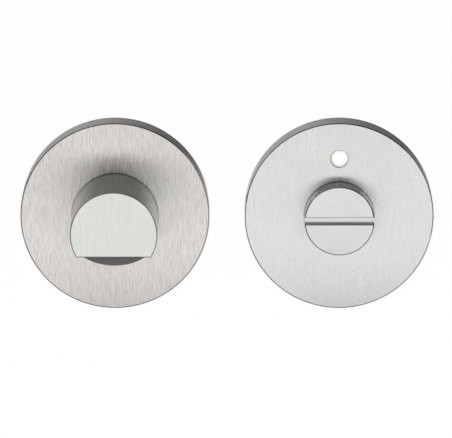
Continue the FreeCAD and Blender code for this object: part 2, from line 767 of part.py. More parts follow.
def make_bolt(name, x):
    neck = "BoltDiameter / 2 + BoltNeckStep"
    head = "BoltHead / 2"
    top = "BossHeight + BoltHeadHeight"
    body = revolve_beside(name, "turn", [
        ("0", "-BoltReach"),
        ("BoltDiameter / 2 - EdgeChamfer", "-BoltReach"),
        ("BoltDiameter / 2", "EdgeChamfer - BoltReach"),
        ("BoltDiameter / 2", "0"),
        (neck, "0"),
        (neck, "BossHeight"),
        (head, "BossHeight"),
        (head, top + " - BoltNeckStep * 2"),
        (head + " - BoltNeckStep * 2", top),
        ("0", top),
    ], x)
    cross = new_sketch(body, "cross", ahead=top)
    rectangle(cross, "-BoltRecess / 2", "BoltRecess / 2", "-BoltRecessWidth / 2", "BoltRecessWidth / 2")
    pocket(body, cross, "BoltRecessDepth", "recess_arm")
    upright = new_sketch(body, "upright", ahead=top)
    rectangle(upright, "-BoltRecessWidth / 2", "BoltRecessWidth / 2", "-BoltRecess / 2", "BoltRecess / 2")
    pocket(body, upright, "BoltRecessDepth", "recess_upright")
    return body


def make_sleeve(name, x):
    seat = "(BossHeight - SleeveSink)"
    bore = "BoltDiameter / 2 + SleeveFit"
    body = revolve_beside(name, "release", [
        (bore, "-SleeveReach"),
        ("SleeveDiameter / 2", "-SleeveReach"),
        ("SleeveDiameter / 2", seat + " + SleeveHead / 2"),
        (bore, seat + " + SleeveHead / 2"),
    ], x)
    head = new_sketch(body, "head", ahead=seat)
    hexagon(head, "BoltHead", "0")
    circle(head, bore)
    pad(body, head, "SleeveHead", "head")
    return body


def make_pair(name, make_one):
    singles = []
    for side, sign in (("right", ""), ("left", "-")):
        singles.append(make_one(name + "_" + side, sign + fixing_radius))
    pair = doc.addObject("Part::Compound", name)
    pair.Links = singles
    for single in singles:
        finished.remove(single)
    finished.append(pair)
    doc.recompute()


make_cover("turn")
make_release_cover()
make_base("turn")
make_release_base()
for half in half_places:
    make_cover_spring(half)
    make_bush(half)
    make_wave_washer(half)
    make_stop_plate(half)
    make_circlip(half)
make_turn_knob()
make_release_knob()
make_spindle()
make_spindle_pin()
make_indicator_disc()
make_indicator_label()
make_pair("through_bolts", make_bolt)
make_pair("sleeve_nuts", make_sleeve)
doc.recompute()

for item in doc.Objects:
    if "Invalid" in item.State or "Error" in item.State:
        raise ValueError(item.Name + " failed: " + ", ".join(item.State))
for piece in finished:
    if piece.Shape.isNull() or not piece.Shape.isValid():
        raise ValueError(piece.Name + " has no sound shape")

os.makedirs("parts", exist_ok=True)
for piece in finished:
    piece.Shape.exportStep(os.path.join("parts", piece.Name + ".step"))
    box = piece.Shape.BoundBox
    print("%-22s solids %d volume %9.2f  X %7.2f %7.2f  Y %7.2f %7.2f  Z %7.2f %7.2f" % (
        piece.Name, len(piece.Shape.Solids), piece.Shape.Volume,
        box.XMin, box.XMax, box.YMin, box.YMax, box.ZMin, box.ZMax))
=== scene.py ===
import bpy
import json
import math
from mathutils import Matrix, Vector

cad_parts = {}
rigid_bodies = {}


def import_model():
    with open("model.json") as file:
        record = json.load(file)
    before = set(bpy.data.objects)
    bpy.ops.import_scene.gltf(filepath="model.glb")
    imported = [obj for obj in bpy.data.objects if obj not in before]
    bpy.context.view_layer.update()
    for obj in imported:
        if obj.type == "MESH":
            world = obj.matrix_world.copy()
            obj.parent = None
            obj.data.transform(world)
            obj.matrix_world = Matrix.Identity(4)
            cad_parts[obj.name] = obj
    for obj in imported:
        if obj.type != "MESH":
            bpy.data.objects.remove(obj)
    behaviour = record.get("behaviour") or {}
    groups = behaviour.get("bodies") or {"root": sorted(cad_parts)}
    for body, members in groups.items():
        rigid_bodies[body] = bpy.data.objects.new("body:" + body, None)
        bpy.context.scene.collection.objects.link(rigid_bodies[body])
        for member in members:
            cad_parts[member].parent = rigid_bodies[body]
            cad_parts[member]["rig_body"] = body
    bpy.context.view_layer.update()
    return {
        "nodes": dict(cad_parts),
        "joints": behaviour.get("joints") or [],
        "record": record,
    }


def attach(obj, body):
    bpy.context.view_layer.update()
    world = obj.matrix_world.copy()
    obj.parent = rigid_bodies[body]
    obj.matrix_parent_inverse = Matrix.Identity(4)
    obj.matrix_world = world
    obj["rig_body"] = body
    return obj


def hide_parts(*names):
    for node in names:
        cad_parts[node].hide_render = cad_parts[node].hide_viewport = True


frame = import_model()
nodes = frame["nodes"]
mm = 0.001
weld = 0.001 * mm
clear = 1.0  # how far a cutter stands out of what it cuts, in mm
releaseX = next(joint["pos_m"][0] for joint in frame["joints"] if joint["name"] == "coin_release")


# Drawing, cutting and handing over

def clearSelection():
    if bpy.context.object and bpy.context.object.mode != "OBJECT":
        bpy.ops.object.mode_set(mode="OBJECT")
    bpy.ops.object.select_all(action="DESELECT")


def pickUp(piece):
    clearSelection()
    piece.select_set(True)
    bpy.context.view_layer.objects.active = piece


def selectEdges(piece, wanted):
    bpy.ops.object.mode_set(mode="EDIT")
    bpy.ops.mesh.select_mode(type="EDGE")
    bpy.ops.mesh.select_all(action="DESELECT")
    bpy.ops.object.mode_set(mode="OBJECT")
    vertices = piece.data.vertices
    for edge in piece.data.edges:
        ends = [vertices[index].co for index in edge.vertices]
        edge.select = wanted(*ends)
    bpy.ops.object.mode_set(mode="EDIT")


# A line through places in metres, drawn point by point and left in edit mode
def drawLine(name, places):
    clearSelection()
    bpy.ops.mesh.primitive_plane_add(size=mm, location=(0, 0, 0))
    piece = bpy.context.object
    piece.name = name
    piece.data.name = name
    bpy.ops.object.mode_set(mode="EDIT")
    bpy.ops.mesh.select_mode(type="VERT")
    bpy.ops.mesh.select_all(action="SELECT")
    bpy.ops.mesh.merge(type="CENTER")
    bpy.ops.transform.translate(value=places[0])
    for near, far in zip(places, places[1:]):
        bpy.ops.mesh.extrude_region_move(TRANSFORM_OT_translate={"value": far - near})
    bpy.ops.mesh.select_all(action="SELECT")
    bpy.ops.mesh.remove_doubles(threshold=weld)
    bpy.ops.mesh.select_all(action="SELECT")
    return piece


def closeUp():
    bpy.ops.mesh.select_all(action="SELECT")
    bpy.ops.mesh.remove_doubles(threshold=weld)
    bpy.ops.mesh.select_all(action="SELECT")
    bpy.ops.mesh.normals_make_consistent(inside=False)
    bpy.ops.object.mode_set(mode="OBJECT")


# A profile of (radius, distance ahead of the door) points in mm, spun about an axis along Y
def turnOnLathe(name, profile, steps, axisX=0.0, axisZ=0.0):
    places = [Vector((axisX + radius * mm, -ahead * mm, axisZ)) for radius, ahead in profile]
    hollow = profile[0][0] > 0
    if hollow:
        places.append(places[0])
    piece = drawLine(name, places)
    bpy.ops.mesh.spin(steps=steps, angle=2 * math.pi, center=(axisX, 0, axisZ), axis=(0, 1, 0))
    closeUp()
    return piece


# Corners in mm, filled and drawn out along a way
def drawBlock(name, corners, way):
    piece = drawLine(name, [Vector(corner) * mm for corner in corners])
    bpy.ops.mesh.edge_face_add()
    bpy.ops.mesh.extrude_region_move(TRANSFORM_OT_translate={"value": Vector(way) * mm})
    closeUp()
    return piece


# A box between two places across, two up and two ahead of the door, in mm
def drawBox(name, across, up, ahead):
    left, right = across
    low, high = up
    start, end = ahead
    corners = [(left, -start, low), (right, -start, low), (right, -start, high), (left, -start, high)]
    return drawBlock(name, corners, (0, start - end, 0))


def combine(piece, other, operation):
    pickUp(piece)
    bpy.ops.object.modifier_add(type="BOOLEAN")
    both = piece.modifiers[-1]
    both.operation = operation
    both.solver = "EXACT"
    both.object = other
    bpy.ops.object.modifier_apply(modifier=both.name)
    bpy.data.objects.remove(other)


def cutAway(piece, cutter):
    combine(piece, cutter, "DIFFERENCE")


def roundEdges(piece, width, segments, wanted):
    pickUp(piece)
    selectEdges(piece, wanted)
    bpy.ops.mesh.bevel(offset=width * mm, segments=segments, affect="EDGES", clamp_overlap=True)
    bpy.ops.mesh.select_all(action="SELECT")
    bpy.ops.mesh.remove_doubles(threshold=weld / 2)
    bpy.ops.object.mode_set(mode="OBJECT")


softCorner = {"segments": 2, "angle": 28.0}


def softenEdges(piece, width):
    pickUp(piece)
    bpy.ops.object.modifier_add(type="BEVEL")
    soften = piece.modifiers[-1]
    soften.width = width * mm
    soften.segments = softCorner["segments"]
    soften.limit_method = "ANGLE"
    soften.angle_limit = math.radians(softCorner["angle"])
    bpy.ops.object.modifier_apply(modifier=soften.name)


shading = {"sharpAngle": 40.0, "weight": 90}


def handOver(piece, nodeName, material):
    pickUp(piece)
    bpy.ops.object.shade_smooth_by_angle(angle=math.radians(shading["sharpAngle"]))
    bpy.ops.object.modifier_add(type="WEIGHTED_NORMAL")
    flatten = piece.modifiers[-1]
    flatten.keep_sharp = True
    flatten.weight = shading["weight"]
    bpy.ops.object.modifier_apply(modifier=flatten.name)
    piece.data.materials.clear()
    piece.data.materials.append(material)
    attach(piece, nodes[nodeName]["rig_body"])
    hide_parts(nodeName)


# Material nodes

def startMaterial(name, shaderType="ShaderNodeBsdfPrincipled"):
    material = bpy.data.materials.new(name)
    material.use_nodes = True
    tree = material.node_tree
    tree.nodes.clear()
    output = tree.nodes.new("ShaderNodeOutputMaterial")
    shader = tree.nodes.new(shaderType)
    tree.links.new(shader.outputs[0], output.inputs["Surface"])
    return material, tree, shader


def addMath(tree, operation, first, second=None):
    node = tree.nodes.new("ShaderNodeMath")
    node.operation = operation
    for socket, given in zip(node.inputs, (first, second)):
        if given is None:
            continue
        if isinstance(given, (int, float)):
            socket.default_value = given
        else:
            tree.links.new(given, socket)
    return node.outputs[0]


# Detail and roughness of each kind of noise
noiseKinds = {"fine": (4.0, 0.65), "broad": (2.0, 0.55), "clouds": (3.0, 0.55), "grain": (4.0, 0.6)}
noiseSpan = (0.3, 0.7)  # noise keeps to the middle of its scale


def addNoise(tree, vector, scale, kind):
    detail, roughness = noiseKinds[kind]
    node = tree.nodes.new("ShaderNodeTexNoise")
    node.inputs["Scale"].default_value = scale
    node.inputs["Detail"].default_value = detail
    node.inputs["Roughness"].default_value = roughness
    tree.links.new(vector, node.inputs["Vector"])
    return node.outputs["Fac"]


def addRange(tree, value, low, high, newLow, newHigh):
    node = tree.nodes.new("ShaderNodeMapRange")
    node.clamp = True
    tree.links.new(value, node.inputs["Value"])
    for name, amount in (("From Min", low), ("From Max", high), ("To Min", newLow), ("To Max", newHigh)):
        node.inputs[name].default_value = amount
    return node.outputs["Result"]


# Noise spread over a swing about a middle value
def addSwing(tree, noise, middle, swing):
    return addRange(tree, noise, *noiseSpan, middle - swing, middle + swing)


def addStretch(tree, vector, scales):
    node = tree.nodes.new("ShaderNodeMapping")
    node.inputs["Scale"].default_value = scales
    tree.links.new(vector, node.inputs["Vector"])
    return node.outputs["Vector"]


def mixVectors(tree, factor, first, second):
    node = tree.nodes.new("ShaderNodeMix")
    node.data_type = "VECTOR"
    tree.links.new(factor, node.inputs["Factor"])
    sockets = [socket for socket in node.inputs if socket.type == "VECTOR" and socket.name in ("A", "B")]
    for socket, given in zip(sockets, (first, second)):
        if isinstance(given, tuple):
            socket.default_value = given
        else:
            tree.links.new(given, socket)
    return [socket for socket in node.outputs if socket.type == "VECTOR"][0]


def tintBy(tree, color, amount):
    node = tree.nodes.new("ShaderNodeMix")
    node.data_type = "RGBA"
    node.blend_type = "MULTIPLY"
    node.inputs["Factor"].default_value = 1.0
    colors = [socket for socket in node.inputs if socket.type == "RGBA"]
    colors[0].default_value = (*color, 1)
    tree.links.new(amount, colors[1])
    return [socket for socket in node.outputs if socket.type == "RGBA"][0]


def addBump(tree, shader, height, settings):
    bump = tree.nodes.new("ShaderNodeBump")
    bump.inputs["Strength"].default_value = settings["bumpStrength"]
    bump.inputs["Distance"].default_value = settings["bumpDepth"]
    tree.links.new(height, bump.inputs["Height"])
    tree.links.new(bump.outputs["Normal"], shader.inputs["Normal"])


# Painted shade: a fine dark line where knob and cover meet, standing in for the shadow in the gap between
# them, by distance from the axis or the door
def addPaintedJointShade(tree, centre, settings):
    sides = tree.nodes.new("ShaderNodeSeparateXYZ")
    tree.links.new(centre, sides.inputs["Vector"])
    if settings["joint"]:
        start, end = settings["joint"]
        axes = (sides.outputs["X"], sides.outputs["Z"])
        squares = [addMath(tree, "MULTIPLY", side, side) for side in axes]
        reach = addMath(tree, "SQRT", addMath(tree, "ADD", *squares))
    else:
        start, end = settings["jointBack"]
        reach = addMath(tree, "MULTIPLY", sides.outputs["Y"], -1)
    return addRange(tree, reach, start, end, settings["paintedJointShade"], 1)


# Brushed steel: fine lines along one way on the faces that look ahead, and round the turned sides
def makeBrushedSteel(name, settings, centreX=0.0):
    material, tree, shader = startMaterial(name)
    place = tree.nodes.new("ShaderNodeTexCoord")
    centred = tree.nodes.new("ShaderNodeMapping")
    centred.inputs["Location"].default_value = (-centreX, 0, 0)
    tree.links.new(place.outputs["Object"], centred.inputs["Vector"])
    centre = centred.outputs["Vector"]

    facing = tree.nodes.new("ShaderNodeSeparateXYZ")
    tree.links.new(place.outputs["Normal"], facing.inputs["Vector"])
    ahead = addMath(tree, "ABSOLUTE", facing.outputs["Y"])
    onFace = addMath(tree, "GREATER_THAN", ahead, settings["faceFrom"])
    sideEnd, edgeStart, edgeEnd, faceStart = settings["edgeFacing"]
    onEdge = addMath(tree, "MULTIPLY", addRange(tree, ahead, sideEnd, edgeStart, 0, 1),
                     addRange(tree, ahead, edgeEnd, faceStart, 1, 0))

    across = settings["linesPerMetre"]
    along = across / settings["lineStretch"]
    faceScale = (across, along, along) if settings["upright"] else (along, along, across)
    lines = mixVectors(tree, onFace, addStretch(tree, centre, (along, across, along)),
                       addStretch(tree, centre, faceScale))
    fine = addNoise(tree, lines, 1.0, "fine")
    broad = addNoise(tree, lines, settings["broadScale"], "broad")
    clouds = addNoise(tree, centre, settings["cloudScale"], "clouds")

    tone = addMath(tree, "MULTIPLY", addSwing(tree, fine, 1, settings["fineTone"]),
                   addSwing(tree, broad, 1, settings["broadTone"]))
    tone = addMath(tree, "MULTIPLY", tone, addSwing(tree, clouds, 1, settings["cloudTone"]))
    # Darkened by the painted shade where knob and cover meet
    tone = addMath(tree, "MULTIPLY", tone, addPaintedJointShade(tree, centre, settings))
    tree.links.new(tintBy(tree, settings["color"], tone), shader.inputs["Base Color"])

    gloss = addMath(tree, "ADD", addSwing(tree, fine, 0, settings["fineGloss"]),
                    addSwing(tree, clouds, 0, settings["cloudGloss"]))
    base = addRange(tree, onFace, 0, 1, settings["sideRoughness"], settings["roughness"])
    gloss = addMath(tree, "ADD", gloss, base)
    polished = addMath(tree, "MULTIPLY", onEdge, -settings["edgePolish"])
    tree.links.new(addMath(tree, "ADD", gloss, polished), shader.inputs["Roughness"])

    shader.inputs["Metallic"].default_value = 1.0
    shader.inputs["Anisotropic"].default_value = settings["anisotropy"]
    spread = (1.0, 0.0, 0.0) if settings["upright"] else (0.0, 0.0, 1.0)
    turned = tree.nodes.new("ShaderNodeVectorTransform")
    turned.vector_type = "VECTOR"
    turned.convert_from = "OBJECT"
    turned.convert_to = "WORLD"
    tree.links.new(mixVectors(tree, onFace, (0.0, 1.0, 0.0), spread), turned.inputs["Vector"])
    tree.links.new(turned.outputs["Vector"], shader.inputs["Tangent"])
    addBump(tree, shader, fine, settings)
    return material


# grime, joint and jointBack set the painted shade where knob and cover meet: how dark it is, and the band
# of radius or of distance from the door that it covers
satinCover = {
    "color": (0.655, 0.631, 0.612), "upright": True, "linesPerMetre": 3300.0, "lineStretch": 10.0,
    "broadScale": 0.35, "cloudScale": 90.0, "fineTone": 0.19, "broadTone": 0.02, "cloudTone": 0.02,
    "paintedJointShade": 0.4, "faceFrom": 0.6, "edgeFacing": (0.25, 0.4, 0.9, 0.97), "edgePolish": 0.1,
    "fineGloss": 0.025, "cloudGloss": 0.02, "roughness": 0.26, "sideRoughness": 0.26, "anisotropy": 0.92,
    "bumpStrength": 0.14, "bumpDepth": 0.00001, "joint": (0.0119, 0.0122), "jointBack": None,
}
satinReleaseCover = dict(satinCover, color=(0.70, 0.702, 0.685), fineTone=0.065, joint=(0.0096, 0.0099))
satinTurn = dict(satinCover, color=(0.65, 0.657, 0.628), fineTone=0.065, lineStretch=20.0, roughness=0.24,
                 sideRoughness=0.22, anisotropy=0.4, joint=None, jointBack=(0.0087, 0.0092))
satinRelease = dict(satinTurn, color=(0.70, 0.71, 0.69), upright=False, anisotropy=0.3)
turnCoverSteel = makeBrushedSteel("satinCoverTurn", satinCover)
releaseCoverSteel = makeBrushedSteel("satinCoverRelease", satinReleaseCover, releaseX)
turnKnobSteel = makeBrushedSteel("satinTurnKnob", satinTurn)
releaseKnobSteel = makeBrushedSteel("satinReleaseKnob", satinRelease, releaseX)


# Plainer finishes: one colour with mottling, gloss that varies, and grain or drawn lines
def makeFinish(name, settings):
    material, tree, shader = startMaterial(name)
    place = tree.nodes.new("ShaderNodeTexCoord")
    lines = addStretch(tree, place.outputs["Object"], settings["stretch"])
    grain = addNoise(tree, lines, settings["grainScale"], "grain")
    clouds = addNoise(tree, place.outputs["Object"], settings["cloudScale"], "clouds")
    tone = addMath(tree, "MULTIPLY", addSwing(tree, grain, 1, settings["grainTone"]),
                   addSwing(tree, clouds, 1, settings["cloudTone"]))
    tree.links.new(tintBy(tree, settings["color"], tone), shader.inputs["Base Color"])
    gloss = addSwing(tree, clouds, settings["roughness"], settings["cloudGloss"])
    tree.links.new(gloss, shader.inputs["Roughness"])
    shader.inputs["Metallic"].default_value = settings["metallic"]
    addBump(tree, shader, grain, settings)
    return material


castZinc = {"color": (0.55, 0.56, 0.57), "metallic": 1.0, "roughness": 0.51, "cloudGloss": 0.09,
            "stretch": (1, 1, 1), "grainScale": 1800.0, "grainTone": 0.07, "cloudScale": 160.0,
            "cloudTone": 0.08, "bumpStrength": 0.5, "bumpDepth": 0.00004}
springWire = {"color": (0.42, 0.42, 0.43), "metallic": 1.0, "roughness": 0.33, "cloudGloss": 0.05,
              "stretch": (1, 8, 1), "grainScale": 900.0, "grainTone": 0.08, "cloudScale": 150.0,
              "cloudTone": 0.05, "bumpStrength": 0.2, "bumpDepth": 0.00001}
springSteel = {"color": (0.22, 0.22, 0.23), "metallic": 1.0, "roughness": 0.385, "cloudGloss": 0.065,
               "stretch": (1, 1, 1), "grainScale": 1500.0, "grainTone": 0.12, "cloudScale": 260.0,
               "cloudTone": 0.1, "bumpStrength": 0.2, "bumpDepth": 0.00001}
platedSteel = {"color": (0.68, 0.69, 0.70), "metallic": 1.0, "roughness": 0.26, "cloudGloss": 0.06,
               "stretch": (1, 0.1, 1), "grainScale": 1600.0, "grainTone": 0.04, "cloudScale": 220.0,
               "cloudTone": 0.05, "bumpStrength": 0.15, "bumpDepth": 0.00001}
blackNylon = {"color": (0.10, 0.10, 0.11), "metallic": 0.0, "roughness": 0.47, "cloudGloss": 0.05,
              "stretch": (1, 1, 1), "grainScale": 1400.0, "grainTone": 0.1, "cloudScale": 120.0,
              "cloudTone": 0.08, "bumpStrength": 0.25, "bumpDepth": 0.00001}
whiteAcetal = {"color": (0.93, 0.93, 0.92), "metallic": 0.0, "roughness": 0.4, "cloudGloss": 0.04,
               "stretch": (1, 1, 1), "grainScale": 900.0, "grainTone": 0.008, "cloudScale": 100.0,
               "cloudTone": 0.006, "bumpStrength": 0.1, "bumpDepth": 0.00001}
redPrint = {"color": (0.72, 0.05, 0.05), "metallic": 0.0, "roughness": 0.45, "cloudGloss": 0.05,
            "stretch": (1, 1, 1), "grainScale": 2200.0, "grainTone": 0.05, "cloudScale": 140.0,
            "cloudTone": 0.03, "bumpStrength": 0.2, "bumpDepth": 0.000006}
finishes = {
    "cast_zinc": makeFinish("castZinc", castZinc),
    "spring_wire": makeFinish("springWire", springWire),
    "spring_steel": makeFinish("springSteel", springSteel),
    "plated_steel": makeFinish("platedSteel", platedSteel),
    "nylon": makeFinish("blackNylon", blackNylon),
    "indicator_white": makeFinish("whiteAcetal", whiteAcetal),
    "indicator_red": makeFinish("redPrint", redPrint),
}
for row in frame["record"]["subparts"]:
    finish = finishes.get(row["material_slot"])
    if finish:
        nodes[row["node"]].data.materials.clear()
        nodes[row["node"]].data.materials.append(finish)
print("materials made")


# Covers: turned cups with a wire groove inside, a notch for levering off, and one with a window

cover = {"radius": 26.0, "depth": 8.4, "face": 1.5, "inside": 24.7, "bore": 8.4976, "steps": 192,
         "groove": (25.1, 1.6, 2.8), "edge": 0.3, "notch": (6.0, 1.4), "notchFrom": 20.0, "notchTo": 30.0,
         "window": 2.4, "windowAbove": 16.0, "windowBack": 5.0, "windowEdge": 0.13, "windowSteps": 64}
nearly = 0.01  # slack in mm when edges are picked by place


def makeCover(name, axisX):
    grooveRadius, grooveBack, grooveFront = cover["groove"]
    inside = cover["inside"]
    floor = cover["depth"] - cover["face"]
    piece = turnOnLathe(name, [
        (cover["bore"], floor), (inside, floor), (inside, grooveFront), (grooveRadius, grooveFront),
        (grooveRadius, grooveBack), (inside, grooveBack), (inside, 0), (cover["radius"], 0),
        (cover["radius"], cover["depth"]), (cover["bore"], cover["depth"]),
    ], cover["steps"], axisX)

    def brokenEdge(first, second):
        radii = [math.hypot(end.x - axisX, end.z) / mm for end in (first, second)]
        level = abs(first.y - second.y) < weld
        outer = min(radii) > cover["radius"] - nearly
        atBore = max(radii) < cover["bore"] + nearly and -first.y / mm > cover["depth"] - nearly
        return level and (outer or atBore)

    roundEdges(piece, cover["edge"], 1, brokenEdge)
    width, depth = cover["notch"]
    middle = axisX / mm
    cutAway(piece, drawBox("notchCutter", (middle - width / 2, middle + width / 2),
                           (-cover["notchFrom"], -cover["notchTo"]), (-clear, depth)))
    return piece


def cutWindow(piece):
    radius = cover["window"]
    edge = cover["windowEdge"]
    front = cover["depth"]
    profile = [(0, cover["windowBack"]), (radius, cover["windowBack"]), (radius, front - edge),
               (radius + edge + clear, front + clear), (0, front + clear)]
    above = cover["windowAbove"] * mm
    cutAway(piece, turnOnLathe("windowCutter", profile, cover["windowSteps"], releaseX, above))


turnCover = makeCover("turnCover", 0.0)
handOver(turnCover, "turn_cover", turnCoverSteel)
releaseCover = makeCover("releaseCover", releaseX)
cutWindow(releaseCover)
handOver(releaseCover, "release_cover", releaseCoverSteel)
print("covers made")


# Knobs: a turned head and shank in one piece

shank = {"radius": 7.2476, "end": 0.3, "ring": (6.4976, 0.9, 1.9), "flat": 6.1976, "flatTop": 3.0,
         "flatReach": 10.0, "socket": 8.1, "socketFloor": 8.5, "steps": 128, "softEdge": 0.06}
pinHole = {"radius": 1.27, "ahead": 5.6, "length": 30.0, "steps": 48}


def shankProfile():
    radius = shank["radius"]
    seat, back, front = shank["ring"]
    return [(0, shank["end"]), (radius, shank["end"]), (radius, back), (seat, back), (seat, front),
            (radius, front)]


def cutFlats(piece, axisX, flat, start, end):
    middle = axisX / mm
    reach = shank["flatReach"]
    for side in (1, -1):
        cutAway(piece, drawBox("flatCutter", (middle - reach, middle + reach),
                               (side * flat, side * reach), (start, end)))


def drillForPin(piece):
    clearSelection()
    bpy.ops.mesh.primitive_cylinder_add(
        vertices=pinHole["steps"], radius=pinHole["radius"] * mm, depth=pinHole["length"] * mm,
        location=(0, -pinHole["ahead"] * mm, 0), rotation=(0, math.pi / 2, 0))
    cutAway(piece, bpy.context.object)


def finishShank(piece, axisX):
    cutFlats(piece, axisX, shank["flat"], -clear, shank["flatTop"])
    middle = axisX / mm
    half = shank["socket"] / 2
    cutAway(piece, drawBox("socketCutter", (middle - half, middle + half), (-half, half),
                           (-clear, shank["socketFloor"])))


thumb = {"radius": 11.9, "back": 8.7, "front": 33.9, "edge": 0.3, "flatBelow": 6.2, "rampEnd": 18.0,
         "rampAngle": 35.0, "blend": 8.0, "blendSegments": 14, "steps": 100, "cutAcross": 40.0,
         "cutBeyond": 2.0, "roundSlack": 0.05}


# The flat and its ramp, as a block with a blended edge between them
def drawThumbCutter():
    slope = math.tan(math.radians(thumb["rampAngle"]))
    beyond = thumb["cutBeyond"]
    flat = -thumb["flatBelow"]
    low = -thumb["radius"] - beyond
    rampStart = thumb["rampEnd"] + (thumb["radius"] - thumb["flatBelow"]) / slope
    rampTip = thumb["rampEnd"] - beyond / slope
    tip = thumb["front"] + beyond
    side = -thumb["cutAcross"] / 2
    cutter = drawBlock("thumbCutter", [(side, -tip, flat), (side, -rampStart, flat), (side, -rampTip, low),
                                       (side, -tip, low)], (thumb["cutAcross"], 0, 0))
    pickUp(cutter)

    def blendEdge(first, second):
        atRamp = [abs(end.y + rampStart * mm) < weld for end in (first, second)]
        return all(atRamp) and abs(first.x - second.x) > thumb["radius"] * mm

    selectEdges(cutter, blendEdge)
    tangent = thumb["blend"] * math.tan(math.radians(thumb["rampAngle"] / 2))
    bpy.ops.mesh.bevel(offset=tangent * mm, segments=thumb["blendSegments"], affect="EDGES")
    bpy.ops.object.mode_set(mode="OBJECT")
    return cutter


def makeTurnKnob():
    edge = thumb["edge"]
    piece = turnOnLathe("turnKnob", shankProfile() + [
        (shank["radius"], thumb["back"]), (thumb["radius"] - edge, thumb["back"]),
        (thumb["radius"], thumb["back"] + edge), (thumb["radius"], thumb["front"]), (0, thumb["front"]),
    ], thumb["steps"])
    cutAway(piece, drawThumbCutter())

    def onOutline(end):
        onRound = math.hypot(end.x, end.z) > (thumb["radius"] - thumb["roundSlack"]) * mm
        onFlat = abs(end.z + thumb["flatBelow"] * mm) < nearly * mm
        return -end.y / mm > thumb["front"] - nearly and (onRound or onFlat)

    roundEdges(piece, edge, 1, lambda first, second: onOutline(first) and onOutline(second))
    finishShank(piece, 0.0)
    drillForPin(piece)
    softenEdges(piece, shank["softEdge"])
    return piece


handOver(makeTurnKnob(), "turn_knob", turnKnobSteel)

coin = {"radius": 9.6, "back": 8.7, "front": 15.6, "edge": 0.3, "collar": (8.1976, 6.6),
        "seat": (7.8976, 5.6), "discFlat": 7.3976, "slotWidth": 2.0, "slotDepth": 2.0, "slotLip": 0.15,
        "slotLength": 24.0}


# The coin slot, with both lips broken at 45 degrees
def drawSlotCutter():
    half = coin["slotWidth"] / 2
    lip = coin["slotLip"]
    left = releaseX / mm - coin["slotLength"] / 2
    front = -coin["front"]
    bottom = front + coin["slotDepth"]
    wide = half + lip + clear
    corners = [(left, front - clear, wide), (left, front + lip, half), (left, bottom, half),
               (left, bottom, -half), (left, front + lip, -half), (left, front - clear, -wide)]
    return drawBlock("slotCutter", corners, (coin["slotLength"], 0, 0))


def makeReleaseKnob():
    radius = coin["radius"]
    edge = coin["edge"]
    collar, discFront = coin["collar"]
    seat, discBack = coin["seat"]
    piece = turnOnLathe("releaseKnob", shankProfile() + [
        (shank["radius"], discBack), (seat, discBack), (seat, discFront), (collar, discFront),
        (collar, coin["back"]), (radius - edge, coin["back"]), (radius, coin["back"] + edge),
        (radius, coin["front"] - edge), (radius - edge, coin["front"]), (0, coin["front"]),
    ], shank["steps"], releaseX)
    cutAway(piece, drawSlotCutter())
    cutFlats(piece, releaseX, coin["discFlat"], discBack, discFront)
    finishShank(piece, releaseX)
    softenEdges(piece, shank["softEdge"])
    return piece


handOver(makeReleaseKnob(), "release_knob", releaseKnobSteel)
print("knobs made")


# Spindle: a drawn square bar with a pointed end and a cross hole for its pin

spindle = {"square": 8.0, "back": 47.0, "front": 8.3, "point": 1.0, "corner": 0.3, "cornerSegments": 4,
           "softEdge": 0.12}


def makeSpindle():
    half = spindle["square"] / 2
    piece = drawBox("turnSpindle", (-half, half), (-half, half), (spindle["front"], -spindle["back"]))
    far = (spindle["back"] - nearly) * mm
    halfLength = (spindle["back"] + spindle["front"]) / 2 * mm
    roundEdges(piece, spindle["point"], 1, lambda first, second: min(first.y, second.y) > far)
    roundEdges(piece, spindle["corner"], spindle["cornerSegments"],
               lambda first, second: abs(first.y - second.y) > halfLength)
    drillForPin(piece)
    softenEdges(piece, spindle["softEdge"])
    return piece


handOver(makeSpindle(), "turn_spindle", finishes["plated_steel"])
print("spindle made")


# Bolts and sleeves: a thread is wound on as a ridge and joined to its core

thread = {"pitch": 0.7, "flanks": (0.02, 0.42, 0.54, 0.94), "steps": 24, "roundSteps": 48, "sunk": 0.1}


# One turn of the ridge is a closed outline, with its flanks as shares of the pitch, screwed along Y
def windRidge(name, root, crest, start, turns):
    pitch = thread["pitch"]
    rise, top, topEnd, fall = thread["flanks"]
    corners = [(root, rise), (crest, top), (crest, topEnd), (root, fall), (root, rise)]
    ridge = drawLine(name, [Vector((radius, start + share * pitch, 0)) * mm for radius, share in corners])
    bpy.ops.object.mode_set(mode="OBJECT")
    bpy.ops.object.modifier_add(type="SCREW")
    wind = ridge.modifiers[-1]
    wind.axis = "Y"
    wind.angle = 2 * math.pi
    wind.steps = thread["steps"]
    wind.render_steps = thread["steps"]
    wind.screw_offset = pitch * mm
    wind.iterations = turns
    bpy.ops.object.modifier_apply(modifier=wind.name)
    bpy.ops.object.mode_set(mode="EDIT")
    bpy.ops.mesh.select_all(action="SELECT")
    bpy.ops.mesh.fill_holes(sides=0)
    closeUp()
    return ridge


def slide(piece, across):
    pickUp(piece)
    bpy.ops.object.mode_set(mode="EDIT")
    bpy.ops.mesh.select_mode(type="VERT")
    bpy.ops.mesh.select_all(action="SELECT")
    bpy.ops.transform.translate(value=(across * mm, 0, 0))
    bpy.ops.object.mode_set(mode="OBJECT")


# A piece set out to one side of an axis, with its twin on the other side
def makePair(piece, axisX, reach):
    name = piece.name
    slide(piece, axisX / mm + reach)
    pickUp(piece)
    bpy.ops.object.duplicate(linked=False)
    twin = bpy.context.object
    slide(twin, -2 * reach)
    clearSelection()
    twin.select_set(True)
    piece.select_set(True)
    bpy.context.view_layer.objects.active = piece
    bpy.ops.object.join()
    piece.name = name
    piece.data.name = name
    return piece


